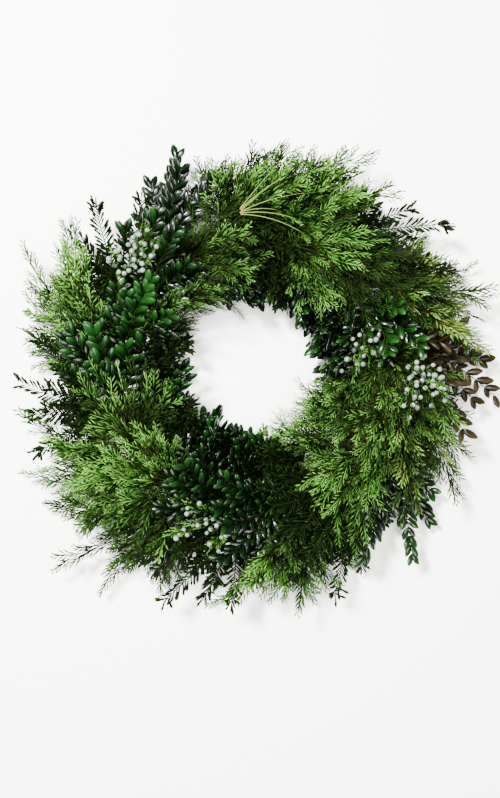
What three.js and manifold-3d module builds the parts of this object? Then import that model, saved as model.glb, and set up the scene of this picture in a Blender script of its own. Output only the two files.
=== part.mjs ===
// A fresh evergreen wreath that lies on its back: sprigs of juniper, yew and boxwood, bound with wire in
// three rows round a straw ring, all swept clockwise. Millimetres, +Z up; the wreath rests on z = 0 and
// +Y is its top.
import * as THREE from "three";
import { mergeVertices } from "three/addons/utils/BufferGeometryUtils.js";
import Module from "manifold-3d";

const wasm = await Module();
wasm.setup();
const { Manifold, Mesh } = wasm;

// The straw ring: a bound ring 370 mm across, with a flat back that the wreath rests on.
const RING_RADIUS = 160;
const STRAW_WIDTH = 50;
const STRAW_HEIGHT = 42;
const SECTION_SIDES = 8;
const RING_STEPS = 32;

// The binding wire, wound once round the ring for each station of bunches, and the grooves that it has
// pressed across the straw's flat back.
const STATIONS = 16;
const STATION_ANGLE = 360 / STATIONS;
const WIRE_RADIUS = 0.75;
const WIRE_SIDES = 3;
const WIRE_STEPS_PER_TURN = 8;
const WIRE_LIFT = 7.4;
const WIRE_SINK = 1.1;
const WIRE_END_SHARE = 0.01;
const WIRE_SQUARENESS = 0.6;
const GROOVE = { length: 42, width: 5.6, depth: 5.2 };

// Clearances: a stem from the straw that it lies on, foliage from straw and wire, from other bunches,
// from its own bunch and from the surface below. Facets of a joined bunch that are smaller than the last
// are left out.
const SEAT_GAP = 0.5;
const RING_CLEARANCE = 0.32;
const CLEARANCE = 0.6;
const FELLOW_GAP = 0.2;
const FLOOR_GAP = 0.5;
const FACET_TOLERANCE = 0.2;

// How a stem lies along the straw: from just before the wire, for a few degrees more, and then peeling
// away.
const HELD_BEFORE_WIRE = 3.5;
const HELD_ANGLE = 4.6;
const PEEL_POWER = 1.3;

// Sizes of the living pieces. A needled twig is a slim core with short sprays in two ranks that lean
// towards its tip.
const STEM_RADIUS = 1.2;
const BARE_SHARE = 0.36;
const STEM_START = 0.45;
const FAN_START = 0.05;
const FAN_POWER = 0.8;
const JUNIPER_TWIG = { steps: 7, core: 3.4, reach: 20, tipReach: 12, lean: 0.85 };
const YEW_TWIG = { steps: 7, core: 2.8, reach: 16, tipReach: 9, lean: 0.7 };
const BOXWOOD_LEAF = { length: 23, width: 13, thickness: 2, fold: 0.22 };
const BERRY_RADIUS = 3.1;
const BERRY_STALK = { length: 11, radius: 1 };

// How a stem's tip may be bent round the ring, outward and up, and a leaf turned, to come clear of its
// neighbours, in the order tried.
const BENDS = [
  [0, 0, 0], [0, 0, 7], [0, 0, -7], [2, 0, 0], [-2, 0, 0], [0, -8, 6], [0, -8, -6], [3, -4, 10],
  [-3, -4, 10], [3, -4, -10], [-3, -4, -10], [0, -16, 0], [0, -6, 18], [0, -6, -16], [5, -10, 4],
  [-5, -10, 4],
];
const SIZES = [1, 0.7, 0.4];
const TURNS = [0, 22, -22, 45, -45];

// Colours and finishes, by kind of piece.
const FINISHES = {
  straw: { color: 0xb79a5e, roughness: 0.9, metalness: 0 },
  wire: { color: 0x2f4a30, roughness: 0.45, metalness: 0.4 },
  juniper: { color: 0x6f9a3e, roughness: 0.65, metalness: 0 },
  yew: { color: 0x1e4a1f, roughness: 0.5, metalness: 0 },
  boxwood: { color: 0x2b7431, roughness: 0.3, metalness: 0 },
  bronze: { color: 0x6b4a22, roughness: 0.4, metalness: 0 },
  berries: { color: 0xc9d8c4, roughness: 0.7, metalness: 0 },
};

// The rows of bunches, station by station and clockwise from the top. Each entry is the kind of sprig,
// how far round the ring its tip lies from its tie in degrees, and how far its tip reaches: in radius, or
// in height in the top row.
const OUTER_ROW = [
  ["juniper", 23, 292], ["yew", 28, 288], ["juniper", 24, 292], ["bronze", 25, 288],
  ["juniper", 26, 270], ["boxwood", 25, 288], ["yew", 22, 282], ["juniper", 17, 298],
  ["yew", 19, 290], ["juniper", 20, 312], ["juniper", 18, 298], ["yew", 18, 292],
  ["juniper", 24, 310], ["yew", 22, 276], ["boxwood", 23, 276], ["juniper", 28, 286],
];
const TOP_ROW = [
  ["juniper", 32, 92], ["juniper", 30, 86], ["boxwood", 28, 84], ["juniper", 30, 94],
  ["juniper", 30, 88], ["juniper", 31, 95], ["yew", 30, 84], ["boxwood", 28, 88],
  ["boxwood", 28, 86], ["juniper", 30, 93], ["juniper", 30, 90], ["boxwood", 28, 85],
  ["boxwood", 28, 92], ["boxwood", 28, 88], ["juniper", 30, 90], ["yew", 30, 86],
];
const INNER_ROW = [
  ["boxwood", 28, 84], ["boxwood", 28, 80], ["boxwood", 28, 82], ["juniper", 28, 80],
  ["juniper", 24, 58], ["juniper", 28, 80], ["yew", 28, 84], ["boxwood", 28, 80],
  ["boxwood", 28, 78], ["yew", 28, 84], ["boxwood", 28, 86], ["yew", 28, 88],
  ["juniper", 28, 90], ["juniper", 28, 88], ["boxwood", 28, 88], ["yew", 28, 86],
];

// Where each row is tied on the straw's section (0 outward, 90 up, 180 inward), the way that its fronds
// face on the same scale, the height or radius of its tips beside the reach above, and how much of its
// foliage it keeps. The tips of its side stems lie so far round the ring, outward and up from the main
// one's.
const ROWS = {
  outer: {
    bunches: OUTER_ROW, tied: 6, faces: 70, tipHeight: 44, fullness: 1,
    sideStems: [[10, -36, 18], [-9, -12, -22], [2, -66, 34]],
  },
  top: {
    bunches: TOP_ROW, tied: 90, faces: 90, tipRadius: 168, fullness: 1,
    sideStems: [[-3, 36, -16], [-3, -34, -14], [-13, 6, -10]],
  },
  inner: {
    bunches: INNER_ROW, tied: 176, faces: 128, tipHeight: 44, fullness: 0.7,
    sideStems: [[-7, 6, 32], [6, 6, -20]],
  },
};

// The berried juniper twigs: the station and section angle of the tie, the sweep, and the radius and
// height of the tip.
const BERRY_TWIGS = [
  { name: "berries_right", station: 3, tied: 45, sweep: 24, radius: 212, height: 88 },
  { name: "berries_inner", station: 2, tied: 135, sweep: 26, radius: 118, height: 80 },
  { name: "berries_bottom", station: 8, tied: 45, sweep: 22, radius: 206, height: 90 },
  { name: "berries_left", station: 13, tied: 45, sweep: 22, radius: 206, height: 90 },
];

const UP = new THREE.Vector3(0, 0, 1);
const rad = THREE.MathUtils.degToRad;
const { lerp } = THREE.MathUtils;

// A repeatable draw from -1 to 1: the need-th one of the piece with this number.
function draw(number, need) {
  const wave = Math.sin(number * 127.1 + need * 311.7) * 43758.5453;
  return 2 * (wave - Math.floor(wave)) - 1;
}

// The outward direction at a clock angle, which runs clockwise from +Y.
function outward(clock) {
  return new THREE.Vector3(Math.sin(rad(clock)), Math.cos(rad(clock)), 0);
}

// The direction at a clock angle and an angle of the section: 0 outward, 90 up, 180 inward.
function sectionWay(clock, angle) {
  return outward(clock).multiplyScalar(Math.cos(rad(angle))).addScaledVector(UP, Math.sin(rad(angle)));
}

// A geometry with each vertex moved by a rule.
function shaped(geometry, rule) {
  const positions = geometry.attributes.position;
  for (let i = 0; i < positions.count; i++) {
    const moved = rule(new THREE.Vector3().fromBufferAttribute(positions, i));
    positions.setXYZ(i, moved.x, moved.y, moved.z);
  }
  return geometry;
}

// A closed geometry as a solid.
function solidOf(geometry) {
  const bare = geometry.clone();
  bare.deleteAttribute("normal");
  bare.deleteAttribute("uv");
  const merged = mergeVertices(bare, 1e-4);
  const triVerts = new Uint32Array(merged.index.array);
  return new Manifold(new Mesh({ numProp: 3, vertProperties: merged.attributes.position.array, triVerts }));
}

// A solid as a geometry.
function geometryOf(solid) {
  const mesh = solid.getMesh();
  const points = new Float32Array(mesh.numVert * 3);
  for (let i = 0; i < mesh.numVert; i++) {
    points.set(mesh.vertProperties.subarray(i * mesh.numProp, i * mesh.numProp + 3), i * 3);
  }
  const geometry = new THREE.BufferGeometry();
  geometry.setAttribute("position", new THREE.BufferAttribute(points, 3));
  geometry.setIndex(new THREE.BufferAttribute(mesh.triVerts, 1));
  geometry.computeVertexNormals();
  return geometry;
}

// The matrix that stands a piece, drawn along +Y with its face to +Z, at a point, along a way and facing
// another.
function standing(point, along, facing) {
  const y = along.clone().normalize();
  const x = y.clone().cross(facing).normalize();
  const z = x.clone().cross(y);
  return new THREE.Matrix4().makeBasis(x, y, z).setPosition(point);
}

// A turn about a stem's axis at a point.
function turnAbout(point, axis, degrees) {
  const back = new THREE.Matrix4().setPosition(point.clone().negate());
  const turn = new THREE.Matrix4().makeRotationAxis(axis, rad(degrees));
  return new THREE.Matrix4().setPosition(point).multiply(turn).multiply(back);
}

// The line of a sprig: it lies on the straw where it is tied, then peels away as it runs round the ring.
// Each aside bends it from a share of its length on, so that its tip comes so far round the ring, outward
// and up.
class Sprig extends THREE.Curve {
  constructor(line, asides = []) {
    super();
    Object.assign(this, line, { asides });
    const seat = SEAT_GAP + STEM_RADIUS * Math.SQRT2;
    this.footRadius = RING_RADIUS + (STRAW_WIDTH / 2 + seat) * Math.cos(rad(line.tied));
    this.footHeight = STRAW_HEIGHT / 2 + (STRAW_HEIGHT / 2 + seat) * Math.sin(rad(line.tied));
    this.held = HELD_ANGLE / line.sweep;
  }

  getPoint(t) {
    const away = Math.max(0, (t - this.held) / (1 - this.held)) ** PEEL_POWER;
    let clock = this.clock + this.sweep * t;
    let radius = lerp(this.footRadius, this.radius, away);
    let height = lerp(this.footHeight, this.height, away);
    for (const [from, round, out, up] of this.asides) {
      const share = Math.max(0, (t - from) / (1 - from)) ** FAN_POWER;
      clock += round * share;
      radius += out * share;
      height += up * share;
    }
    return outward(clock).multiplyScalar(radius).setZ(height);
  }

  // The point there, the way on, the way that the frond faces, and the way across it.
  at(t) {
    const along = this.getTangent(t);
    const across = along.clone().cross(sectionWay(this.clock + this.sweep * t, this.faces)).normalize();
    return { point: this.getPoint(t), along, facing: across.clone().cross(along), across };
  }
}

// The shares of a stem's length where its cross-sections lie: those of its foot, then evenly from another
// to the tip.
function sectionShares(sprig, from, steps, start) {
  const foot = from ? [from] : [0, sprig.held];
  const last = steps - foot.length;
  const spread = Array.from({ length: last + 1 }, (_, i) => lerp(start, 1, i / last));
  return [...foot, ...spread];
}

// A bare stem: a square bar that follows a sprig from a share of its length to the tip.
function bareStem(sprig, from, steps) {
  const corner = STEM_RADIUS * Math.SQRT2;
  const [first, ...rest] = sectionShares(sprig, from, steps, STEM_START);
  const bar = new THREE.CylinderGeometry(corner * 0.8, corner * (from ? 0.8 : 1), 1, 4, rest.length);
  return solidOf(shaped(bar.rotateY(Math.PI / 4), (v) => {
    const { point, facing, across } = sprig.at([first, ...rest][Math.round((v.y + 0.5) * rest.length)]);
    return point.addScaledVector(across, v.x).addScaledVector(facing, v.z);
  }));
}

// A needled twig. Its rings after the bare foot carry short sprays by turns to the left and right, which
// lean forward by most of the way to the next ring; above and below, the slim core swells and thins.
function needledTwig(sprig, from, { steps, core, reach, tipReach, lean }, number, size) {
  const shares = sectionShares(sprig, from, steps, BARE_SHARE);
  const bare = from ? 1 : 2;
  const cone = new THREE.ConeGeometry(1, 1, 4, steps);
  return solidOf(shaped(cone, (v) => {
    const ring = Math.round((v.y + 0.5) * steps);
    const { point, along, facing, across } = sprig.at(shares[ring]);
    const width = Math.hypot(v.x, v.z);
    if (width < 1e-6) {
      return point;
    }
    const [x, z] = [Math.round(v.x / width), Math.round(v.z / width)];
    const grown = ring - bare;
    const along01 = grown / (steps - bare);
    const swell = size * core * Math.sin(Math.PI * (0.15 + 0.75 * along01));
    const thick = grown < 1 ? STEM_RADIUS * (from ? 0.75 : 1.2) : STEM_RADIUS + swell;
    const sprays = grown > 0 && (ring + (x > 0 ? 1 : 0)) % 2 === 0;
    const bulge = 1 + 0.25 * draw(number, ring + 50 * z);
    if (!x || !sprays) {
      return point.addScaledVector(across, x * thick).addScaledVector(facing, z * thick * bulge);
    }
    const unfurled = Math.min(1, 0.25 + 0.35 * grown);
    const out = size * unfurled * lerp(reach, tipReach, along01) * (1 + 0.18 * draw(number, ring + 9));
    const step = sprig.getPoint(shares[ring + 1]).distanceTo(point);
    return point.addScaledVector(along, (ring === steps - 1 ? 0.45 : 1) * lean * step)
      .addScaledVector(facing, 3 * draw(number, ring + 30))
      .addScaledVector(across, x * out);
  }));
}

// A boxwood leaf from its foot at the origin to its tip on +Y, folded up from its midrib.
function boxwoodLeaf(share) {
  const { length, width, thickness, fold } = BOXWOOD_LEAF;
  const lens = new THREE.SphereGeometry(1, 6, 2).rotateY(Math.PI / 6).rotateX(Math.PI / 2);
  return shaped(lens, ({ x, y, z }) => {
    const across = x * 1.15 * (width / 2) * (1 + 0.16 * y) * share;
    const arch = 0.06 * length * (1 - y * y);
    const height = (z * thickness) / 2 + fold * Math.abs(across) + arch;
    return new THREE.Vector3(across, (length / 2) * (y + 1) * share, height);
  });
}

// The leaves of a boxwood stem: opposite pairs, smaller towards the tip, and one leaf at the tip.
function boxwoodLeaves(sprig, number, pairs, from) {
  const leaf = (t, angle, side, raised, share) => {
    const here = sprig.at(t);
    const root = here.point.clone().addScaledVector(here.across, side * (STEM_RADIUS - 0.6))
      .addScaledVector(here.along, side ? 0 : -0.6);
    const way = here.along.clone().multiplyScalar(Math.cos(rad(angle)))
      .addScaledVector(here.across, side * Math.sin(rad(angle)))
      .addScaledVector(here.facing, raised);
    const shape = boxwoodLeaf(share).applyMatrix4(standing(root, way, here.facing));
    return { shape, point: here.point, axis: here.along, twigs: [] };
  };
  const leaves = [leaf(1, 0, 0, 0.15, 0.9)];
  for (let i = 0; i < pairs; i++) {
    const t = lerp(from ? 0.55 : 0.46, 0.97, i / pairs);
    const raised = (i % 2 ? 0.5 : 0.12) + 0.1 * draw(number, i);
    for (const side of [-1, 1]) {
      leaves.push(leaf(t, 50 - 10 * t, side, raised, 1.1 - 0.2 * t));
    }
  }
  return leaves;
}

// Berries, each on a stalk of its own that leaves the twig in its own direction.
function stalkedBerries(sprig, number, berries) {
  return Array.from({ length: berries }, (_, i) => {
    const { point, along, facing, across } = sprig.at(0.42 + (0.57 * i) / (berries - 1));
    const turn = rad(137.5 * i + 30 * draw(number, i));
    const way = along.clone().multiplyScalar(0.7)
      .addScaledVector(across, Math.sin(turn))
      .addScaledVector(facing, 0.3 + 0.7 * Math.cos(turn)).normalize();
    const { length, radius } = BERRY_STALK;
    const stalk = new THREE.ConeGeometry(radius, length, 3).translate(0, length / 2, 0);
    const centre = point.clone().addScaledVector(way, length - 1);
    const berry = new THREE.IcosahedronGeometry(BERRY_RADIUS).translate(centre.x, centre.y, centre.z);
    const grown = { shape: berry, point: centre, axis: way, twigs: [] };
    return { shape: stalk.applyMatrix4(standing(point, way, facing)), point, axis: along, twigs: [grown] };
  });
}

// What each kind of sprig is made of: twigs with needles, or stems with leaves or berries.
const KINDS = {
  juniper: { twig: JUNIPER_TWIG },
  yew: { twig: YEW_TWIG },
  boxwood: { repeats: boxwoodLeaves, counts: [3, 2, 1], sideStems: 2 },
  bronze: { repeats: boxwoodLeaves, counts: [3, 2, 1], sideStems: 2 },
  berries: { repeats: stalkedBerries, counts: [6] },
};

// The groove that the wire has pressed across the straw's flat back at a station, slanted as the wire is.
function wireGroove(station) {
  const { length, width, depth } = GROOVE;
  const slant = Math.atan((rad(STATION_ANGLE) * RING_RADIUS) / 4 / STRAW_WIDTH);
  const box = new THREE.BoxGeometry(length, width, 2 * depth).rotateZ(-slant);
  const centre = outward(STATION_ANGLE * station).multiplyScalar(RING_RADIUS);
  return solidOf(box.rotateZ(rad(90 - STATION_ANGLE * station)).translate(centre.x, centre.y, 0));
}

// The straw ring: an eight-sided section with a flat back, turned round the wreath's middle.
function strawRing() {
  const profile = [];
  for (let i = 0; i <= SECTION_SIDES; i++) {
    const angle = (2 * Math.PI * (i + 0.5)) / SECTION_SIDES;
    const corner = 1 / Math.cos(Math.PI / SECTION_SIDES);
    const radius = RING_RADIUS + (STRAW_WIDTH / 2) * corner * Math.cos(angle);
    profile.push(new THREE.Vector2(radius, (STRAW_HEIGHT / 2) * (1 + corner * Math.sin(angle))));
  }
  const ring = solidOf(new THREE.LatheGeometry(profile, RING_STEPS).rotateX(Math.PI / 2));
  const grooves = Array.from({ length: STATIONS }, (_, station) => wireGroove(station));
  return ring.subtract(Manifold.union(grooves)).simplify(FACET_TOLERANCE);
}

// The wire's line: a spiral round the ring's section, sunk in the straw at the back and clear of the
// stems elsewhere.
class Winding extends THREE.Curve {
  getPoint(t) {
    const turns = lerp(WIRE_END_SHARE, STATIONS - WIRE_END_SHARE, t);
    const section = 2 * Math.PI * turns - Math.PI / 2;
    const squared = (share) => Math.sign(share) * Math.abs(share) ** WIRE_SQUARENESS;
    const halfHeight = (STRAW_HEIGHT + WIRE_LIFT - WIRE_SINK) / 2;
    const radius = RING_RADIUS + (STRAW_WIDTH / 2 + WIRE_LIFT) * squared(Math.cos(section));
    const point = outward(STATION_ANGLE * turns).multiplyScalar(radius);
    return point.setZ(WIRE_SINK + halfHeight * (1 + squared(Math.sin(section))));
  }
}

function bindingWire() {
  const section = new THREE.Shape();
  for (let i = 0; i < WIRE_SIDES; i++) {
    const angle = (2 * Math.PI * i) / WIRE_SIDES;
    section[i ? "lineTo" : "moveTo"](WIRE_RADIUS * Math.cos(angle), WIRE_RADIUS * Math.sin(angle));
  }
  const extrudePath = new Winding();
  extrudePath.getPointAt = extrudePath.getPoint;
  const steps = STATIONS * WIRE_STEPS_PER_TURN;
  return solidOf(new THREE.ExtrudeGeometry(section, { steps, extrudePath, bevelEnabled: false }));
}

// The clock angle from which a stem is held at a station: just before the wire crosses its row.
function tieAngle(station, tied) {
  return STATION_ANGLE * (station + (tied + 90) / 360) - HELD_BEFORE_WIRE;
}

// Every bunch by name: its kind, its number, its fullness, its main stem's line and its side stems.
function bunchPlans() {
  const plans = [];
  for (const [rowName, row] of Object.entries(ROWS)) {
    row.bunches.forEach(([kind, sweep, reach], station) => {
      const number = plans.length;
      const tied = row.tied + 3 * draw(number, 60);
      const line = {
        clock: tieAngle(station, tied),
        tied,
        sweep: sweep + draw(number, 61),
        radius: row.tipRadius ? row.tipRadius + (station % 2 ? 16 : -14) + 4 * draw(number, 62) : reach,
        height: row.tipHeight ? row.tipHeight + 9 * draw(number, 62) : reach,
        faces: row.faces + 8 * draw(number, 63),
      };
      const name = `${kind}_${rowName}_${String(station + 1).padStart(2, "0")}`;
      plans.push({ name, kind, number, fullness: row.fullness, line, sideStems: row.sideStems });
    });
  }
  for (const { name, station, ...line } of BERRY_TWIGS) {
    Object.assign(line, { clock: tieAngle(station, line.tied), faces: line.tied });
    plans.push({ name, kind: "berries", number: plans.length, fullness: 1, line, sideStems: [] });
  }
  return plans;
}

// The distance between two solids, up to a limit, at no cost where their boxes are far apart.
function gapBetween(a, b, limit) {
  const [p, q] = [a.boundingBox(), b.boundingBox()];
  const apart = [0, 1, 2].some((i) => p.min[i] - q.max[i] > limit || q.min[i] - p.max[i] > limit);
  return apart ? limit : a.minGap(b, limit);
}

// Whether a solid is clear of others by a gap.
function isClearOf(solid, others, gap) {
  return others.every((other) => gapBetween(solid, other, gap) >= gap);
}

// Lays a plan's main stem on the straw: moved along the straw's normal until it is a seat's gap off.
function seat(plan, ring) {
  const main = new Sprig(plan.line);
  const stem = bareStem(main, 0, 4);
  const away = sectionWay(plan.line.clock, 0).multiplyScalar(main.footRadius - RING_RADIUS);
  away.z = main.footHeight - STRAW_HEIGHT / 2;
  const shift = away.normalize().multiplyScalar(SEAT_GAP - stem.minGap(ring, 10));
  plan.place = new THREE.Matrix4().setPosition(shift);
  plan.solid = stem.transform(plan.place.elements);
}

// Grows a plan's stems: each is bent aside until it is clear of the other bunches, and a side stem that
// stays in the way is left out. Returns the stems' lines with the shares that they start from.
function growStems(plan, frame, others) {
  const { twig } = KINDS[plan.kind];
  const clear = (solid) => solid.boundingBox().min[2] > FLOOR_GAP
    && isClearOf(solid, frame, RING_CLEARANCE) && isClearOf(solid, others, CLEARANCE);
  const stemOf = (sprig, from, number, size) => {
    const steps = Math.round(plan.fullness * (twig ? twig.steps : 4)) - (from ? 1 : 0);
    const solid = twig
      ? needledTwig(sprig, from, { ...twig, steps }, number, size)
      : bareStem(sprig, from, steps);
    return solid.transform(plan.place.elements);
  };
  const grown = [];
  const sideStems = plan.sideStems.slice(0, KINDS[plan.kind].sideStems);
  const tries = SIZES.flatMap((size) => BENDS.map((bend) => [bend, size]));
  [[0, 0, 0], ...sideStems].forEach((aside, i) => {
    const fork = HELD_ANGLE / plan.line.sweep + FAN_START + 0.03 * i;
    const from = i ? fork : 0;
    for (const [bendBy, size] of tries) {
      const bend = [fork, ...aside.map((value, k) => value + bendBy[k])];
      const sprig = new Sprig(plan.line, [...(grown[0] ? grown[0].sprig.asides : []), bend]);
      const solid = stemOf(sprig, from, plan.number + 100 * i, size);
      if (clear(solid)) {
        grown.push({ sprig, from, solid });
        return;
      }
    }
    if (!i) {
      grown.push({ sprig: new Sprig(plan.line), from, solid: plan.solid });
    }
  });
  const solids = grown.map(({ solid }) => solid);
  plan.solid = Manifold.union(solids);
  return grown;
}

// Grows leaves or berries on a plan's stems. A repeat that would touch another piece, its fellows or the
// surface below is turned about its stem until it is clear, and left off where no turn clears it.
function growRepeats(plan, stems, frame, others) {
  const { repeats, counts } = KINDS[plan.kind];
  const fellows = [];
  const clear = (solid, parent) => {
    const bunch = [...fellows, ...stems.map((stem) => stem.solid)].filter((other) => other !== parent);
    return solid.boundingBox().min[2] > FLOOR_GAP && isClearOf(solid, frame, RING_CLEARANCE)
      && isClearOf(solid, others, CLEARANCE) && isClearOf(solid, bunch, FELLOW_GAP);
  };
  const keepClear = ({ shape, point, axis, twigs }, place, parent) => {
    const whole = solidOf(shape);
    for (const degrees of TURNS) {
      const turned = place.clone().multiply(turnAbout(point, axis, degrees));
      const solid = whole.transform(turned.elements);
      if (clear(solid, parent)) {
        fellows.push(solid);
        twigs.forEach((twig) => keepClear(twig, turned, solid));
        return;
      }
    }
  };
  stems.forEach(({ sprig, from, solid }, i) => {
    const count = Math.max(1, Math.round(counts[Math.min(i, counts.length - 1)] * plan.fullness ** 2));
    for (const repeat of repeats(sprig, plan.number + 100 * i, count, from)) {
      keepClear(repeat, plan.place, solid);
    }
  });
  plan.solid = Manifold.union([plan.solid, ...fellows]);
}

const ring = strawRing();
const wire = bindingWire();
const plans = bunchPlans();
plans.forEach((plan) => seat(plan, ring));
for (const plan of plans) {
  const others = plans.filter((other) => other !== plan).map((other) => other.solid);
  const near = others.filter((other) => gapBetween(plan.solid, other, 70) < 70);
  const stems = growStems(plan, [ring, wire], near);
  if (KINDS[plan.kind].repeats) {
    growRepeats(plan, stems, [ring, wire], near);
  }
  const bodies = plan.solid.simplify(FACET_TOLERANCE).decompose();
  plan.solid = bodies.reduce((a, b) => (b.volume() > a.volume() ? b : a));
}

const wreath = new THREE.Group();
function addPiece(name, kind, solid) {
  const mesh = new THREE.Mesh(geometryOf(solid), new THREE.MeshStandardMaterial(FINISHES[kind]));
  mesh.name = name;
  wreath.add(mesh);
}
addPiece("straw_ring", "straw", ring);
addPiece("binding_wire", "wire", wire);
plans.forEach(({ name, kind, solid }) => addPiece(name, kind, solid));

// The origin is the middle of the whole wreath's box on the surface that it lies on.
const middle = new THREE.Box3().setFromObject(wreath).getCenter(new THREE.Vector3());
wreath.position.set(-middle.x, -middle.y, 0);

export default wreath;
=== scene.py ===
"""A fresh evergreen wreath on its back: juniper, yew and boxwood sprigs, bound clockwise on a straw ring.

Lengths in the tables are millimetres, as in the part's source; meshes are in metres.
"""

import math
from functools import partial

import bpy
import numpy as np
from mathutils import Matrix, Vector


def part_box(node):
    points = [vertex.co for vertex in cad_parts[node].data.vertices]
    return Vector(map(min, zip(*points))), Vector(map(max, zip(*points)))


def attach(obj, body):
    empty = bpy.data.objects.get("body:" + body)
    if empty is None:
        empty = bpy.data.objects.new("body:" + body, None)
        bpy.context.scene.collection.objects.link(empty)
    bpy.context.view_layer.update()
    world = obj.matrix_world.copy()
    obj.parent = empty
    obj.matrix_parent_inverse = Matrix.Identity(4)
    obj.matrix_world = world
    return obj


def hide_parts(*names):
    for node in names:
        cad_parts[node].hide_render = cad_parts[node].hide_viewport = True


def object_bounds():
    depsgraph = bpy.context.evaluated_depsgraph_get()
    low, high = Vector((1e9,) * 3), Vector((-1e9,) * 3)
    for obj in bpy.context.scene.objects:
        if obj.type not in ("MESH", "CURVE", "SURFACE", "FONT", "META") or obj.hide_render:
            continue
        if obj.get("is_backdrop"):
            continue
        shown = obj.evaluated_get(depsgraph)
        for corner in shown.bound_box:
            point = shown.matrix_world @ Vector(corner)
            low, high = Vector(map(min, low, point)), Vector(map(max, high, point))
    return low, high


MM = 0.001

# The straw ring, the wire round it and the way that stems are tied on, as in the part's source.
RING_RADIUS = 160
STRAW_WIDTH = 50
STRAW_HEIGHT = 42
STATIONS = 16
STATION_ANGLE = 360 / STATIONS
WIRE_RADIUS = 0.75
WIRE_LIFT = 7.4
WIRE_SINK = 1.1
WIRE_SQUARENESS = 0.6
GROOVE = (42, 5.6, 5.2)
SEAT_GAP = 0.5
HELD_BEFORE_WIRE = 3.5
HELD_ANGLE = 4.6
PEEL_POWER = 1.3
STEM_RADIUS = 1.2
FAN_START = 0.05
FAN_POWER = 0.8

# How far round, outwards and upwards the source may bend a stem's tip, and how far off its solid a side stem's tip
# may be to count as found.
MOST_TIP_GAP = 2.6
BENDS = [
    (0, 0, 0), (0, 0, 7), (0, 0, -7), (2, 0, 0), (-2, 0, 0), (0, -8, 6), (0, -8, -6), (3, -4, 10),
    (-3, -4, 10), (3, -4, -10), (-3, -4, -10), (0, -16, 0), (0, -6, 18), (0, -6, -16), (5, -10, 4),
    (-5, -10, 4),
]

# The hole in the middle of the wreath, which stays open: its low and high corner.
HOLE = ((-68.5, -28.5), (34.5, 72.5))

# The painted shade inside the wreath, which darkens the leaves' colour: no leaf is shaded above the first height, and
# the shade is full that much lower. It fades towards the sides, and the free tips past the last radius are painted
# darker again.
SHADE_TOP, SHADE_FALL, FULL_SHADE = 95, 38, 1.15
SHADE_MIDDLE, SHADE_REACH, SHADE_FADE = 165, 95, 35
TIPS_FROM, TIPS_FADE = 232, 40

# How wide round a berry, and how far below its middle, no leaf of another bunch may cover it, and how far apart the
# middles of two berries are at least.
BERRY_CLEAR, BERRY_SUNK = 3.4, 2.0
BERRIES_APART = 6.3

# How far inside the wreath's box all foliage stays, and above the floor.
MARGIN, FLOOR_MARGIN = 0.3, 0.8

# The bunches, station by station and clockwise from the top: the kind, how far round its tip lies, how far the tip
# reaches, and how light and how warm its green is, both from 0 to 1.
OUTER_ROW = [
    ("juniper", 23, 292, 0.75, 0.7), ("yew", 28, 288, 0.45, 1.7), ("juniper", 24, 292, 0.75, 1.85),
    ("bronze", 25, 288, 0.55, 1.5), ("juniper", 26, 270, 0.6, 1.7), ("boxwood", 25, 288, 0.7, 0.9),
    ("yew", 22, 282, 0.35, 0.5), ("juniper", 17, 298, 0.75, 0.7), ("yew", 19, 290, 0.35, 0.2),
    ("juniper", 20, 312, 0.3, 0.3), ("juniper", 18, 298, 0.9, 0.7), ("yew", 18, 292, 0.5, 0.1),
    ("juniper", 24, 310, 0.9, 0.7), ("yew", 22, 276, 0.4, 0.2), ("boxwood", 23, 276, 0.25, 0.4),
    ("juniper", 28, 286, 0.65, 0.6),
]
TOP_ROW = [
    ("juniper", 32, 92, 0.95, 0.7), ("juniper", 30, 86, 0.22, 0.5), ("boxwood", 28, 84, 0.75, 0.9),
    ("juniper", 30, 94, 0.85, 0.8), ("juniper", 30, 88, 0.9, 0.9), ("juniper", 31, 95, 0.85, 0.7),
    ("yew", 30, 84, 0.4, 0.4), ("boxwood", 28, 88, 0.3, 0.3), ("boxwood", 28, 86, 0.4, 0.4),
    ("juniper", 30, 93, 0.95, 0.8), ("juniper", 30, 90, 0.5, 0.5), ("boxwood", 28, 85, 0.85, 0.5),
    ("boxwood", 28, 92, 0.8, 0.5), ("boxwood", 28, 88, 0.4, 0.3), ("juniper", 30, 90, 0.4, 0.6),
    ("yew", 30, 86, 0.4, 0.3),
]
INNER_ROW = [
    ("boxwood", 28, 84, 0.25, 0.3), ("boxwood", 28, 80, 0.35, 0.4), ("boxwood", 28, 82, 0.3, 0.4),
    ("juniper", 28, 80, 0.5, 0.4), ("juniper", 24, 58, 0.55, 0.1), ("juniper", 28, 80, 0.65, 0.7),
    ("yew", 28, 84, 0.6, 0.6), ("boxwood", 28, 80, 0.25, 0.3), ("boxwood", 28, 78, 0.3, 0.4),
    ("yew", 28, 84, 0.45, 0.4), ("boxwood", 28, 86, 0.7, 0.5), ("yew", 28, 88, 0.4, 0.3),
    ("juniper", 28, 90, 0.5, 0.6), ("juniper", 28, 88, 0.4, 0.6), ("boxwood", 28, 88, 0.3, 0.4),
    ("yew", 28, 86, 0.35, 0.4),
]
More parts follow.
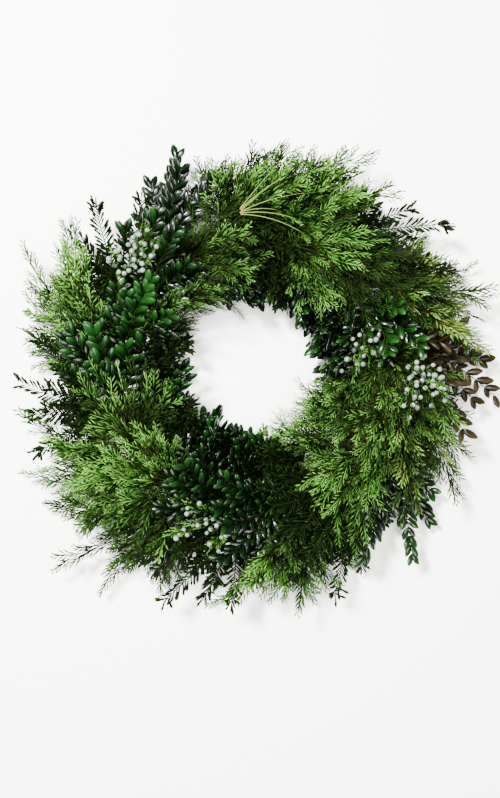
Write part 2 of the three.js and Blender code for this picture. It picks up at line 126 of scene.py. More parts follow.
# The rows. A stem's turn, out and up are how far round, outwards and upwards its tip leans from the main one's: the
# side stems are the solid's own, the fan holds the lesser ones' least and most, and the collar's stems, which hide
# the ties, have their end first.
ROWS = {
    "outer": {
        "bunches": OUTER_ROW, "tied": 6, "faces": 70, "tip_height": 44,
        "side_stems": [(10, -36, 18), (-9, -12, -22), (2, -66, 34)],
        "fan": ((-20, 8), (-84, -12), (-22, 36)),
        "collar": ((0.74, -14, -50, -38), (0.7, -4, -66, -40), (0.84, -22, -22, -26), (0.7, -9, -84, -8),
                   (0.76, -24, -40, -10), (0.6, -10, -92, -42)),
    },
    "top": {
        "bunches": TOP_ROW, "tied": 90, "faces": 90, "tip_radius": 168,
        "side_stems": [(-3, 36, -16), (-3, -34, -14), (-13, 6, -10)],
        "fan": ((-16, 12), (-56, 54), (-38, 6)),
        "collar": ((0.58, 3, -66, -30), (0.58, 4, 58, -30), (0.5, -3, -40, -10), (0.5, -2, 34, -14), (0.44, 2, 0, -14)),
    },
    "inner": {
        "bunches": INNER_ROW, "tied": 176, "faces": 128, "tip_height": 44,
        "side_stems": [(-7, 6, 32), (6, 6, -20)],
        "fan": ((-18, 10), (0, 46), (-24, 44)),
        "collar": ((0.7, -6, 34, -30), (0.6, 2, 40, 24), (0.5, -5, -34, -8)),
    },
}

# Lesser stems by kind, how many more the outer row has of all but boxwood, how stout the five juniper sprays are and
# how far apart they grow.
LESSER_STEMS = {"juniper": 10, "yew": 10, "boxwood": 8, "bronze": 3}
OUTER_STEMS = 4
STOUTNESS = (1.0, 1.0, 1.0, 2.1, 2.1)
SPRAY_SPACING = {"outer": 5.6, "top": 9.0, "inner": 6.4, "berries": 5.6}

# The berried twigs: station and section angle of the tie, sweep, tip radius and height, how many berries show, and
# how far round and out their short side stems lean.
BERRY_TWIGS = {
    "berries_right": (3, 45, 24, 212, 88, 62, (4, -18)),
    "berries_inner": (2, 135, 26, 118, 80, 16, (5, 4)),
    "berries_bottom": (8, 45, 22, 206, 90, 20, (-4, -16)),
    "berries_left": (13, 45, 22, 206, 90, 50, (0, -6)),
}

# The leaves: their finish's name, roughness, gloss and midrib, then their colours deep in the shade, lit, lit and
# cool, turned russet, and at new tips.
LEAVES = {
    "juniper": ("juniper scales", 0.6, 0.01, 0.0, (0.0001, 0.0006, 0.0001), (0.018, 0.08, 0.0035),
                (0.0045, 0.045, 0.0055), (0.05, 0.028, 0.004), (0.2, 0.46, 0.085)),
    "yew": ("yew needles", 0.45, 0.02, 0.25, (0.0001, 0.0005, 0.0001), (0.003, 0.015, 0.001),
            (0.0008, 0.0075, 0.0016), (0.012, 0.008, 0.001), (0.022, 0.06, 0.008)),
    "boxwood": ("boxwood leaves", 0.2, 0.17, 0.2, (0.0001, 0.0008, 0.0001), (0.0023, 0.0165, 0.0009),
                (0.0005, 0.013, 0.0024), (0.012, 0.006, 0.001), (0.01, 0.045, 0.007)),
    "bronze": ("bronzed boxwood leaves", 0.35, 0.06, 0.4, (0.002, 0.0007, 0.0002), (0.012, 0.0062, 0.001),
               (0.004, 0.011, 0.001), (0.016, 0.005, 0.001), (0.03, 0.026, 0.005)),
}
SCALE_ROWS = 60.0
SHADER_INPUTS = {"colour": "Base Color", "roughness": "Roughness", "gloss": "Specular IOR Level",
                 "metallic": "Metallic"}

# How high a strip of the scene the picture shows at the wreath's level, and how far below the camera that is.
VIEW_HEIGHT, VIEW_DISTANCE = 0.94, 0.86


def draw(number, need):
    """A repeatable draw from -1 to 1: the need-th one of the bunch with this number."""
    wave = math.sin(number * 127.1 + need * 311.7) * 43758.5453
    return 2 * (wave - math.floor(wave)) - 1


def unit(ways):
    return ways / np.linalg.norm(ways, axis=-1, keepdims=True)


def laid(places, ways, up):
    """Where pieces are that point the ways given, with their ways across, ways on and ways faced, which lean up."""
    across = unit(np.cross(ways, up))
    return places, across, ways, np.cross(across, ways)


def spun(ways, axes, angles):
    """Each way turned about its own unit axis."""
    cos, sin = np.cos(angles)[:, None], np.sin(angles)[:, None]
    along = np.sum(ways * axes, 1, keepdims=True)
    return ways * cos + np.cross(axes, ways) * sin + axes * along * (1 - cos)


def round_ring(clock, radius, height):
    """Points by how far round they are, clockwise from the top, how far out and how high."""
    return np.stack([np.sin(clock) * radius, np.cos(clock) * radius, height], -1)


class Sprig:
    """The line of a stem: it lies on the straw where it is tied, then peels away as it runs round the ring."""

    centre = np.zeros(3)

    def __init__(self, line, asides=()):
        self.line, self.asides = line, asides
        seat = SEAT_GAP + STEM_RADIUS * math.sqrt(2)
        tied = math.radians(line["tied"])
        self.foot_radius = RING_RADIUS + (STRAW_WIDTH / 2 + seat) * math.cos(tied)
        self.foot_height = STRAW_HEIGHT / 2 + (STRAW_HEIGHT / 2 + seat) * math.sin(tied)
        self.held = HELD_ANGLE / line["sweep"]

    def points(self, shares):
        t = np.asarray(shares, float)
        away = np.clip((t - self.held) / (1 - self.held), 0, None) ** PEEL_POWER
        clock = self.line["clock"] + self.line["sweep"] * t
        radius = self.foot_radius + (self.line["radius"] - self.foot_radius) * away
        height = self.foot_height + (self.line["height"] - self.foot_height) * away
        for start, turn, out, up in self.asides:
            share = np.clip((t - start) / (1 - start), 0, None) ** FAN_POWER
            clock = clock + turn * share
            radius = radius + out * share
            height = height + up * share
        return self.centre + round_ring(np.radians(clock), radius, height)

    def frames(self, shares):
        """The points there, the ways across, the ways on and the ways that the frond faces."""
        t = np.asarray(shares, float)
        along = unit(self.points(np.minimum(t + 1e-3, 1)) - self.points(np.maximum(t - 1e-3, 0)))
        clock = np.radians(self.line["clock"] + self.line["sweep"] * t)
        faces = math.radians(self.line["faces"])
        up = round_ring(clock, math.cos(faces), np.full(t.shape, math.sin(faces)))
        return laid(self.points(t), along, up)

    def length(self, start, end):
        points = self.points(np.linspace(start, end, 24))
        return np.linalg.norm(np.diff(points, axis=0), axis=1).sum()


# ---- Shapes that repeat, each drawn once along +Y with its face to +Z ----


def linked(name, data):
    """A new object in the scene."""
    made = bpy.data.objects.new(name, data)
    bpy.context.scene.collection.objects.link(made)
    return made


def read(parts, name, width, kind=float):
    """One property of all of a mesh's vertices, corners or faces, as an array with rows of a width."""
    values = np.empty(len(parts) * width, kind)
    parts.foreach_get(name, values)
    return values.reshape(-1, width)


def edit(piece, rule=lambda co: True):
    """Opens a piece for editing with just the vertices selected whose place obeys a rule, or all of them."""
    bpy.ops.object.mode_set(mode="OBJECT")
    for part in (piece.data.edges, piece.data.polygons):
        part.foreach_set("select", [False] * len(part))
    piece.data.vertices.foreach_set("select", [bool(rule(v.co)) for v in piece.data.vertices])
    bpy.ops.object.mode_set(mode="EDIT")
    bpy.ops.mesh.select_mode(type="VERT")


def widen(piece, y, value):
    """Resizes the ring of vertices at a height along a piece."""
    edit(piece, lambda co: abs(co.y - y) < 1e-5)
    bpy.ops.transform.resize(value=value, center_override=(0, y, 0))


def ring_at(piece, y):
    """Cuts a new ring of vertices round a piece at a height along it."""
    edit(piece)
    bpy.ops.mesh.bisect(plane_co=(0, y, 0), plane_no=(0, 1, 0))


def added(name, add, **sizes):
    """A new primitive with nothing else selected, its place and turn moved into its mesh."""
    bpy.ops.object.select_all(action="DESELECT")
    add(**sizes)
    piece = bpy.context.object
    piece.name = name
    bpy.ops.object.transform_apply(location=True, rotation=True, scale=True)
    return piece


def cone(name, sides, foot, tip, length):
    """A cone along +Y, by the radii of its foot and tip and its length in millimetres."""
    return added(name, bpy.ops.mesh.primitive_cone_add, vertices=sides, radius1=foot * MM, radius2=tip * MM,
                 depth=length * MM, location=(0, length / 2 * MM, 0), rotation=(-math.pi / 2, 0, 0))


class Shape:
    """A drawn shape as arrays: its corners' places, its faces, and how far along and across each corner is."""

    def __init__(self, points, corners, sizes, uv):
        self.points, self.corners, self.sizes, self.uv = points, corners, sizes, uv

    @classmethod
    def of(cls, piece):
        bpy.ops.object.mode_set(mode="OBJECT")
        mesh = piece.data
        points = read(mesh.vertices, "co", 3)
        corners = read(mesh.loops, "vertex_index", 1, int).ravel()
        sizes = read(mesh.polygons, "loop_total", 1, int).ravel()
        x, y = points[:, 0], points[:, 1]
        across = 0.5 + x / np.abs(x).max() / 2
        along = (y - y.min()) / (y.max() - y.min())
        bpy.data.objects.remove(piece)
        return cls(points, corners, sizes, np.stack([across, along], 1))

    def in_order(self):
        """The shape with its faces sorted by their corners, as Blender lists a sphere's faces anew on each run."""
        faces = sorted(tuple(face) for face in np.split(self.corners, np.cumsum(self.sizes)[:-1]))
        return Shape(self.points, np.concatenate(faces), np.array([len(face) for face in faces]), self.uv)

    def copies(self, places, across, along, facing, scales, lift=(1, 1, 1)):
        """Copies at the places, their own axes laid along the ways given and their size scaled."""
        turn = np.stack([across, along, facing], 1) * np.reshape(scales, (-1, 1, 1))
        return np.einsum("vk,nkj->nvj", self.points * lift, turn) + np.asarray(places)[:, None, :] * MM


def joined(shapes):
    """Several shapes as one: each has its points, and how far along the whole its foot and its tip are."""
    start, points, corners, sizes, uv = 0, [], [], [], []
    for place, shape, tips in shapes:
        points.append(place)
        corners.append(shape.corners + start)
        sizes.append(shape.sizes)
        uv.append(np.stack([shape.uv[:, 0], tips[0] + (tips[1] - tips[0]) * shape.uv[:, 1]], 1))
        start += len(place)
    return Shape(np.concatenate(points), np.concatenate(corners), np.concatenate(sizes), np.concatenate(uv))


def juniper_twiglet():
    """A scaly twiglet 10 mm long, thin as string: three-sided and thickest past its middle."""
    twiglet = cone("twiglet", 3, 0.7, 0, 10)
    ring_at(twiglet, 5.5 * MM)
    widen(twiglet, 5.5 * MM, (2.0, 1, 2.0))
    edit(twiglet, lambda co: co.y < 1 * MM)
    bpy.ops.mesh.merge(type="CENTER")
    return Shape.of(twiglet)


def juniper_spray(twiglet, number, stout):
    """A side branch 42 mm long with ten twiglets by turns to the left and right, shorter towards its tip."""
    parts = [(twiglet.points * (1.15 * stout, 4.2, 1.15 * stout), twiglet, (0.1, 0.95))]
    for i in range(10):
        y = 3.0 + 3.6 * i
        side = -1 if i % 2 else 1
        angle = side * math.radians(26 + 9 * draw(number, i))
        lift = math.radians(20 * draw(number, i + 20))
        length = (17.5 - 1.0 * i) * (1 + 0.28 * draw(number, i + 40))
        along = np.array([[math.sin(angle) * math.cos(lift), math.cos(angle) * math.cos(lift), math.sin(lift)]])
        axes = laid([[0, y, 0]], along, [[0, 0, 1.0]])
        places = twiglet.copies(*axes, 1.0, (stout, length / 10, stout))[0]
        parts.append((places, twiglet, (0.15 + 0.05 * i, 0.78 + 0.022 * i)))
    return joined(parts)


def yew_needle():
    """A flat needle 18 mm long and under 2 mm wide, with a ridge, a narrow foot and a pointed tip."""
    needle = cone("needle", 4, 0.45, 0, 18)
    ring_at(needle, 3 * MM)
    widen(needle, 3 * MM, (2.3, 1, 0.9))
    ring_at(needle, 14 * MM)
    widen(needle, 14 * MM, (8.5, 1, 2.4))
    edit(needle, lambda co: co.y > 17 * MM)
    bpy.ops.transform.translate(value=(0, 0, 1.2 * MM))
    return Shape.of(needle)


def boxwood_leaf():
    """An oval leaf 18 mm long that narrows to its tip, arched along its length and domed across."""
    leaf = added("leaf", bpy.ops.mesh.primitive_uv_sphere_add, segments=8, ring_count=5, radius=1,
                 location=(0, 0, 0), rotation=(math.pi / 2, 0, 0))
    edit(leaf)
    bpy.ops.transform.resize(value=(4.4 * MM, 9 * MM, 0.5 * MM), center_override=(0, 0, 0))
    bpy.ops.transform.translate(value=(0, 9 * MM, 0))
    bpy.ops.object.mode_set(mode="OBJECT")
    for y in sorted({round(v.co.y, 6) for v in leaf.data.vertices}):
        share = y / (18 * MM)
        widen(leaf, y, (0.76 if share > 0.8 else 1.0 + 0.2 * (share - 0.5), 1, 1))
        bpy.ops.transform.translate(value=(0, 0, 0.8 * MM * (1 - (2 * share - 1) ** 2) - 1.0 * MM * share ** 3))
    for side in (-1, 1):
        for inner, drop in ((0.5, 0.5), (3.3, 0.9)):
            edit(leaf, lambda co: co.x * side > inner * MM)
            bpy.ops.transform.translate(value=(0, 0, -drop * MM))
    return Shape.of(leaf).in_order()


def berry():
    """A round berry just under 6 mm across with a dimple at its end, on a thin stalk 9 mm long."""
    fruit = added("berry", bpy.ops.mesh.primitive_uv_sphere_add, segments=8, ring_count=6, radius=2.9 * MM,
                  location=(0, 11 * MM, 0), rotation=(math.pi / 2, 0, 0))
    edit(fruit, lambda co: co.y > 13.6 * MM)
    bpy.ops.transform.translate(value=(0, -0.45 * MM, 0))
    fruit_shape = Shape.of(fruit).in_order()
    return fruit_shape, Shape.of(cone("stalk", 4, 0.75, 0.5, 9))


def straight_stem():
    """A stem 1 m long with a four-sided section, to be bent along a sprig's line."""
    stem = added("stem", bpy.ops.mesh.primitive_cylinder_add, vertices=4, radius=1.0, depth=1.0,
                 location=(0, 0.5, 0), rotation=(-math.pi / 2, 0, 0))
    for i in range(1, 8):
        ring_at(stem, i / 8)
    return Shape.of(stem)


class PaleStalk(Sprig):
    """A bare stalk over the top of the wreath, from a bundle of cut ends out to a spray of its own."""

    def __init__(self, number):
        super().__init__({"clock": 0, "sweep": 20, "tied": 90, "radius": 0, "height": 0, "faces": 90})
        self.cut = (-18 + 0.9 * draw(number, 408), 185 - 1.1 * number)
        self.way = math.radians(60 - 10.5 * number + 7 * draw(number, 400))
        self.bend = 0.16 + 0.14 * draw(number, 410)
        self.reach = 78 + 26 * draw(number, 406)
        self.fall = 34 - 4 * number

    def points(self, shares):
        t = np.asarray(shares, float)
        way = self.way - self.bend * t
        height = 92 + 3 * np.sin(math.pi * t) - self.fall * t
        x, y = (start + self.reach * t * turn for start, turn in zip(self.cut, (np.cos(way), np.sin(way))))
        return self.centre + np.stack([x, y, height], -1)


# ---- Bunches: their lines, found again in the frame, and what grows on them ----


def tie_angle(station, tied):
    return STATION_ANGLE * (station + (tied + 90) / 360) - HELD_BEFORE_WIRE


def bunch_plans():
    """Every bunch by name, with its main stem's line, side stems and green."""
    plans = {}
    for row_name, row in ROWS.items():
        for station, (kind, sweep, reach, tone, warmth) in enumerate(row["bunches"]):
            number = len(plans)
            tied = row["tied"] + 3 * draw(number, 60)
            spread = draw(number, 62)
            line = {
                "clock": tie_angle(station, tied),
                "tied": tied,
                "sweep": sweep + draw(number, 61),
                "radius": row["tip_radius"] + (16 if station % 2 else -14) + 4 * spread
                if "tip_radius" in row else reach,
                "height": row["tip_height"] + 9 * spread if "tip_height" in row else reach,
                "faces": row["faces"] + 8 * draw(number, 63),
            }
            name = f"{kind}_{row_name}_{station + 1:02d}"
            plans[name] = {"kind": kind, "row": row_name, "number": number, "line": line, "tone": tone,
                           "warmth": warmth, "side_stems": row["side_stems"]}
    for name, (station, tied, sweep, radius, height, count, lean) in BERRY_TWIGS.items():
        line = {"clock": tie_angle(station, tied), "tied": tied, "sweep": sweep, "radius": radius,
                "height": height, "faces": tied}
        plans[name] = {"kind": "berries", "row": "berries", "number": len(plans), "line": line, "tone": 0.7,
                       "warmth": 0.7, "side_stems": [], "berries": count, "lean": lean}
    return plans


def stems_of(plan, node):
    """The bunch's stems as they stand in the frame: the bend of each is the one whose tip meets the node's mesh."""
    points = np.array([v.co for v in node.data.vertices]) / MM
    limit = {"boxwood": 2, "bronze": 2}.get(plan["kind"], 3)
    main, stems = (), []
    for i, aside in enumerate([(0, 0, 0), *plan["side_stems"][:limit]]):
        fork = HELD_ANGLE / plan["line"]["sweep"] + FAN_START + 0.03 * i
        tries = []
        for bend in BENDS:
            tip = tuple(a + b for a, b in zip(aside, bend))
            sprig = Sprig(plan["line"], (*main, (fork, *tip)))
            tries.append((np.linalg.norm(points - sprig.points(1.0), axis=1).min(), sprig))
        gap, sprig = min(tries, key=lambda found: found[0])
        if i == 0:
            main = sprig.asides
            stems.append({"sprig": sprig, "start": 0.0, "fork": fork})
        elif gap < MOST_TIP_GAP:
            stems.append({"sprig": sprig, "start": fork})
    return main, stems


def lesser_stem(plan, main, fork, tip, end):
    """A stem that forks from the main one and leans away from it, cut off at a share of its line."""
    return {"sprig": Sprig(plan["line"], (*main, (fork, *tip))), "start": fork, "end": end}


def more_stems(plan, main, stems, extra):
    """Lesser stems that fill the bunch out, their tips spread evenly over the fan of its row."""
    number = plan["number"]
    grown = [{**stem, "end": 1.0} for stem in stems]
    fan = ROWS[plan["row"]]["fan"]
    for i in range(extra):
        shares = [((i + 0.5) * step + 0.5 * draw(number, 200)) % 1 for step in (1 / extra, 0.618, 0.382)]
        turn, out, up = (low + (high - low) * share for (low, high), share in zip(fan, shares))
        if plan["row"] == "inner":
            out += 32 * min(0, math.cos(math.radians(plan["line"]["clock"] + 20)))
        fork = stems[0]["fork"] + 0.02 + 0.05 * (1 + draw(number, 280 + i))
        end = 0.86 + 0.12 * draw(number, 300 + i)
        grown.append(lesser_stem(plan, main, fork, (turn, out, up), end))
    for i, (end, *tip) in enumerate(ROWS[plan["row"]]["collar"]):
        grown.append(lesser_stem(plan, main, stems[0]["fork"] - 0.03, tip, end + 0.06 * draw(number, 320 + i)))
    return grown


def berry_stems(plan, main, stems):
    """The berried twig and the short ones that fork from it."""
    number = plan["number"]
    grown = [{**stems[0], "end": 1.0}]
    for i, tip in enumerate(((-7, 14, -4), (5, -14, -8), (-4, -8, -12), (2, 16, -16))):
        jitter = (2 * draw(number, 200 + i), 4 * draw(number, 220 + i), 3 * draw(number, 240 + i))
        tip = tuple(p + r + s for p, r, s in zip(tip, jitter, (*plan["lean"], 0)))
        grown.append(lesser_stem(plan, main, stems[0]["fork"] + 0.08 * (i + 1), tip, 0.92))
    return grown


class Foliage:
    """What one bunch is made of, gathered copy by copy and made into one mesh at the end."""

    low = np.zeros(3)
    high = np.zeros(3)
    berries = np.zeros((0, 3))

    def __init__(self, plan):
        self.plan = plan
        self.random = np.random.default_rng(plan["number"])
        self.parts = []

    def add(self, shape, points, finish, tones):
        """Takes copies of a shape, but for those that reach out of the wreath's box or into its hole or hide a berry.

        Leaves that lie low inside the wreath, and free tips far out, get painted shade: their tone is darkened.
        """
        kept = np.all((points.min(1) > self.low) & (points.max(1) < self.high), 1)
        hole_low, hole_high = np.array(HOLE) * MM
        kept &= ~np.all((points.max(1)[:, :2] > hole_low) & (points.min(1)[:, :2] < hole_high), 1)
        middle = points.mean(1)
        if finish == "leaf" and self.plan["kind"] != "berries":
            for berry_place in self.berries:
                near = np.flatnonzero(kept & (np.hypot(*(middle[:, :2] - berry_place[:2]).T) < 20 * MM))
                places = points[near]
                over = np.hypot(places[..., 0] - berry_place[0], places[..., 1] - berry_place[1]) < BERRY_CLEAR * MM
                kept[near] &= ~np.any(over & (places[..., 2] > berry_place[2] - BERRY_SUNK * MM), 1)
        out = np.hypot(*(middle / MM - Sprig.centre)[:, :2].T)
        # Painted shade: the tone of leaves low in the wreath's body and of free tips far out is darkened.
        depth = ((SHADE_TOP - middle[:, 2] / MM) / SHADE_FALL).clip(0, FULL_SHADE)
        depth *= ((SHADE_REACH - np.abs(out - SHADE_MIDDLE)) / SHADE_FADE).clip(0, 1)
        thin = ((out - TIPS_FROM) / TIPS_FADE).clip(0, 1)
        tones = np.broadcast_to(tones, kept.shape) - (0.95 * depth + 0.5 * thin if finish == "leaf" else 0)
        if kept.any():
            self.parts.append((shape, points[kept], finish, tones[kept]))

    def uneven(self, share, count):
        """Sizes that differ from 1 by about a share."""
        return 1 + share * self.random.normal(0, 1, count).clip(-2, 2)

    def stem(self, shape, stem, radius, tip_radius, finish="bark"):
        """A stem bent along its sprig."""
        y = shape.points[:, 1]
        shares = stem["start"] + (stem["end"] - stem["start"]) * y
        place, across, along, facing = stem["sprig"].frames(shares)
        thick = (radius + (tip_radius - radius) * y)[:, None]
        points = place + across * shape.points[:, :1] * thick + facing * shape.points[:, 2:] * thick
        self.add(shape, points[None] * MM, finish, 0.5)

    def mesh(self, name, finishes):
        """The bunch's piece, with a face for each face of each copy."""
        start, points, corners, sizes, uvs, tones, slots = 0, [], [], [], [], [], []
        for shape, places, finish, tone in self.parts:
            count, each = len(places), places.shape[1]
            points.append(places.reshape(-1, 3))
            offsets = start + each * np.arange(count)[:, None]
            corners.append((shape.corners[None] + offsets).ravel())
            sizes.append(np.tile(shape.sizes, count))
            uvs.append(np.tile(shape.uv[shape.corners], (count, 1)))
            tones.append(np.repeat(tone, each))
            slots.append(np.full(count * len(shape.sizes), list(finishes).index(finish)))
            start += count * each
        points, corners, sizes = (np.concatenate(x) for x in (points, corners, sizes))
        mesh = bpy.data.meshes.new(name)
        mesh.vertices.add(len(points))
        mesh.vertices.foreach_set("co", points.astype(np.float32).ravel())
        mesh.loops.add(len(corners))
        mesh.loops.foreach_set("vertex_index", corners.astype(np.int32))
        mesh.polygons.add(len(sizes))
        mesh.polygons.foreach_set("loop_start", (np.cumsum(sizes) - sizes).astype(np.int32))
        mesh.polygons.foreach_set("material_index", np.concatenate(slots).astype(np.int32))
        mesh.polygons.foreach_set("use_smooth", np.ones(len(sizes), bool))
        mesh.update(calc_edges=True)
        mesh.uv_layers.new(name="growth").data.foreach_set("uv", np.concatenate(uvs).astype(np.float32).ravel())
        warmth = np.full(len(points), self.plan["warmth"])
        for key, values in (("tone", np.concatenate(tones)), ("warmth", warmth)):
            mesh.attributes.new(key, "FLOAT", "POINT").data.foreach_set("value", values.astype(np.float32))
        for finish in finishes.values():
            mesh.materials.append(finish)
        return linked(name, mesh)


def shares_every(stem, bare, spacing):
    """Shares of a stem from its fork, or past its bare foot, to its end, a spacing in millimetres apart."""
    start = max(stem["start"], stem.get("bare", bare))
    length = stem["sprig"].length(start, stem["end"])
    return np.linspace(start, stem["end"], max(3, round(length / spacing)))


def leaning(foliage, frames, sides, angles, roll):
    """The ways of side pieces that leave a stem to either side, at their angles and rolled about the stem."""
    place, across, along, facing = frames
    count = len(place)
    rolled = foliage.random.normal(0, roll, count)
    out = spun(across * sides[:, None], along, rolled)
    up = spun(facing, along, rolled)
    way = unit(along * np.cos(angles)[:, None] + out * np.sin(angles)[:, None])
    return laid(place, way, up)


def grow_juniper(foliage, shapes, stem, spacing, size, spread=33):
    """Sprays by turns to the left and right, longest past the foot, that lean towards the stem's tip.

    The last two of the five sprays are the stouter ones at the free ends of the outer row.
    """
    shares = shares_every(stem, 0.1, spacing)
    count = len(shares)
    grown = (np.arange(count) + 0.5) / count
    sides = np.where(np.arange(count) % 2, 1.0, -1.0)
    angles = np.radians(spread - 15 * grown + foliage.random.normal(0, 6, count))
    axes = leaning(foliage, stem["sprig"].frames(shares), sides, angles, 0.55)
    scales = size * (1.0 - 0.25 * grown ** 2) * foliage.uneven(0.16, count)
    tones = foliage.plan["tone"] + foliage.random.normal(-0.06, 0.34, count)
    which = foliage.random.integers(0, 3, count)
    if foliage.plan["row"] == "outer":
        which = np.where(grown > 0.55, which % 2 + 3, which)
    for i, shape in enumerate(shapes):
        chosen = which == i
        points = shape.copies(*(part[chosen] for part in axes), scales[chosen])
        foliage.add(shape, points, "leaf", tones[chosen])


def grow_yew(foliage, shape, stem, spacing=1.7, spread=58, burst=0):
    """Needles in two ranks, shorter towards the tip, where a burst of them splays out round the bud."""
    shares = shares_every(stem, 0.12, spacing)
    grown = (np.arange(len(shares)) + 0.5) / len(shares)
    shares = np.concatenate([shares, np.linspace(stem["end"] - 0.05, stem["end"], burst)])
    grown = np.concatenate([grown, np.ones(burst)])
    count = len(shares)
    sides = np.where(np.arange(count) % 2, 1.0, -1.0)
    angles = np.radians(spread - 34 * grown ** 3 + foliage.random.normal(0, 7, count))
    angles[count - burst:] = foliage.random.uniform(0.2, 1.5, burst)
    rolls = np.where(np.arange(count) < count - burst, 0.45, 1.5)
    axes = leaning(foliage, stem["sprig"].frames(shares), sides, angles, rolls)
    scales = (1.08 - 0.3 * grown) * foliage.uneven(0.12, count)
    tones = foliage.plan["tone"] + foliage.random.normal(0, 0.2, count)
    foliage.add(shape, shape.copies(*axes, scales), "leaf", tones)


def grow_boxwood(foliage, shape, stem, spacing, spread=50):
    """Leaves in opposite pairs, by turns flat and turned a little round the stem, smaller towards the tip."""
    pairs = shares_every(stem, 0.14, spacing)
    shares = np.repeat(pairs, 2)
    count = len(shares)
    grown = (np.arange(count) + 0.5) / count
    sides = np.tile([-1.0, 1.0], len(pairs))
    place, across, along, facing = stem["sprig"].frames(shares)
    crossed = np.where((np.arange(count) // 2) % 2, 0.5, 0.0)
    angles = np.radians(spread - 24 * grown ** 2 + foliage.random.normal(0, 7, count))
    out = spun(across * sides[:, None], along, crossed + foliage.random.normal(0, 0.22, count))
    way = unit(along * np.cos(angles)[:, None] + out * np.sin(angles)[:, None] + facing * 0.03)
    scales = (1.32 - 0.36 * grown) * foliage.uneven(0.13, count)
    tones = foliage.plan["tone"] + 0.12 * grown + foliage.random.normal(0, 0.2, count)
    foliage.add(shape, shape.copies(*laid(place, way, facing), scales), "leaf", tones)


def grow_berries(foliage, fruit, stalk, stems, count):
    """Berries on their stalks, spread over the twigs and out in every direction."""
    per_stem = -(-count // len(stems))
    placed = np.zeros((0, 3))
    for stem in stems:
        shares = np.linspace(0.56, stem["end"], per_stem)
        place, across, along, facing = stem["sprig"].frames(shares)
        turns = 2.4 * np.arange(per_stem) + foliage.random.normal(0, 0.4, per_stem)
        lift = 0.35 + 0.65 * np.cos(turns)
        way = unit(0.55 * along + across * np.sin(turns)[:, None] + facing * lift[:, None])
        axes = laid(place, way, along)
        scales = foliage.uneven(0.12, per_stem)
        tones = foliage.random.uniform(0, 1, per_stem)
        fruits = fruit.copies(*axes, scales)
        clear = np.ones(per_stem, bool)
        for i, middle in enumerate(fruits.mean(1)):
            others = np.concatenate([placed, fruits[:i][clear[:i]].mean(1)])
            clear[i] = not len(others) or np.linalg.norm(others - middle, axis=1).min() > BERRIES_APART * MM
        placed = np.concatenate([placed, fruits[clear].mean(1)])
        foliage.add(fruit, fruits[clear], "berry", tones[clear])
        foliage.add(stalk, stalk.copies(*axes, scales)[clear], "leaf", tones[clear])
    round_ones = [points.mean(1) for _, points, finish, _ in foliage.parts if finish == "berry"]
    Foliage.berries = np.concatenate([Foliage.berries, *round_ones])


# ---- Finishes ----


def feed(tree, made, inputs):
    """The node, with its inputs linked to other nodes' outputs or set."""
    for name, value in dict(inputs).items():
        if isinstance(value, bpy.types.NodeSocket):
            tree.links.new(value, made.inputs[name])
        else:
            made.inputs[name].default_value = value
    return made


def node(tree, kind, inputs=(), **settings):
    made = tree.nodes.new(kind)
    for name, value in settings.items():
        setattr(made, name, value)
    return feed(tree, made, inputs)


def mixed(tree, share, a, b):
    """The mix of two colours, whose sockets have these numbers on the node."""
    return node(tree, "ShaderNodeMix", {0: share, 6: a, 7: b}, data_type="RGBA").outputs[2]


def math_node(tree, operation, *values, clamp=False):
    """The result of a sum on numbers that vary over the surface."""
    return node(tree, "ShaderNodeMath", dict(enumerate(values)), operation=operation, use_clamp=clamp).outputs[0]


def noise(tree, place, scale, detail):
    return node(tree, "ShaderNodeTexNoise", {"Vector": place, "Scale": scale, "Detail": detail}).outputs["Fac"]


def ranged(tree, value, ends):
    return node(tree, "ShaderNodeMapRange", {"Value": value, **ends}).outputs["Result"]


def new_group(name, inputs, outputs):
    """An empty node group with its sockets, their names listed by kind, and what it is given."""
    group = bpy.data.node_groups.new(name, "ShaderNodeTree")
    for way, kinds in (("INPUT", inputs), ("OUTPUT", outputs)):
        for kind, names in kinds.items():
            for socket in names.split():
                group.interface.new_socket(socket, in_out=way, socket_type="NodeSocket" + kind)
    return group, group.nodes.new("NodeGroupInput").outputs


def green_group():
    """The green of living leaves: from the colour in painted deep shade to the lit one by tone, cool or warm, turned
    russet past 1, paler at new tips.

    A midrib and thin edges in the tip's colour are drawn as strongly as Midrib says.
    """
    group, given = new_group(
        "living green",
        {"Color": "Deep Light Cool Russet Tip", "Float": "Tone Warmth Across Growth Midrib", "Vector": "Place"},
        {"Color": "Color"},
    )
    result, mix = partial(math_node, group), partial(mixed, group)
    mottle = result("SUBTRACT", noise(group, given["Place"], 90.0, 3.0), 0.5)
    tone = result("ADD", given["Tone"], result("MULTIPLY", mottle, 0.7))
    # Darker towards the foot of each piece: partly older growth, partly painted shade between the leaves.
    grown = result("MULTIPLY_ADD", given["Growth"], 0.5, -0.28)
    tone = result("ADD", tone, grown, clamp=True)
    green = mix(tone, given["Deep"], given["Light"])
    coolness = result("MULTIPLY", result("SUBTRACT", 1.0, given["Warmth"]), 0.65)
    green = mix(coolness, green, mix(tone, given["Deep"], given["Cool"]))
    turned = result("SUBTRACT", given["Warmth"], 1.0, clamp=True)
    green = mix(turned, green, mix(tone, given["Deep"], given["Russet"]))
    tip = result("MULTIPLY", result("POWER", given["Growth"], 3.0), 0.8)
    green = mix(result("MULTIPLY", tip, result("ADD", tone, 0.15)), green, given["Tip"])
    off = result("ABSOLUTE", result("SUBTRACT", given["Across"], 0.5))
    rib = result("SUBTRACT", 1.0, result("MULTIPLY", off, 14.0), clamp=True)
    edge = result("MULTIPLY", result("SUBTRACT", off, 0.42, clamp=True), 8.0, clamp=True)
    lines = result("MULTIPLY", result("MAXIMUM", rib, edge), given["Midrib"])
    node(group, "NodeGroupOutput", {"Color": mix(lines, green, given["Tip"])})
    return group


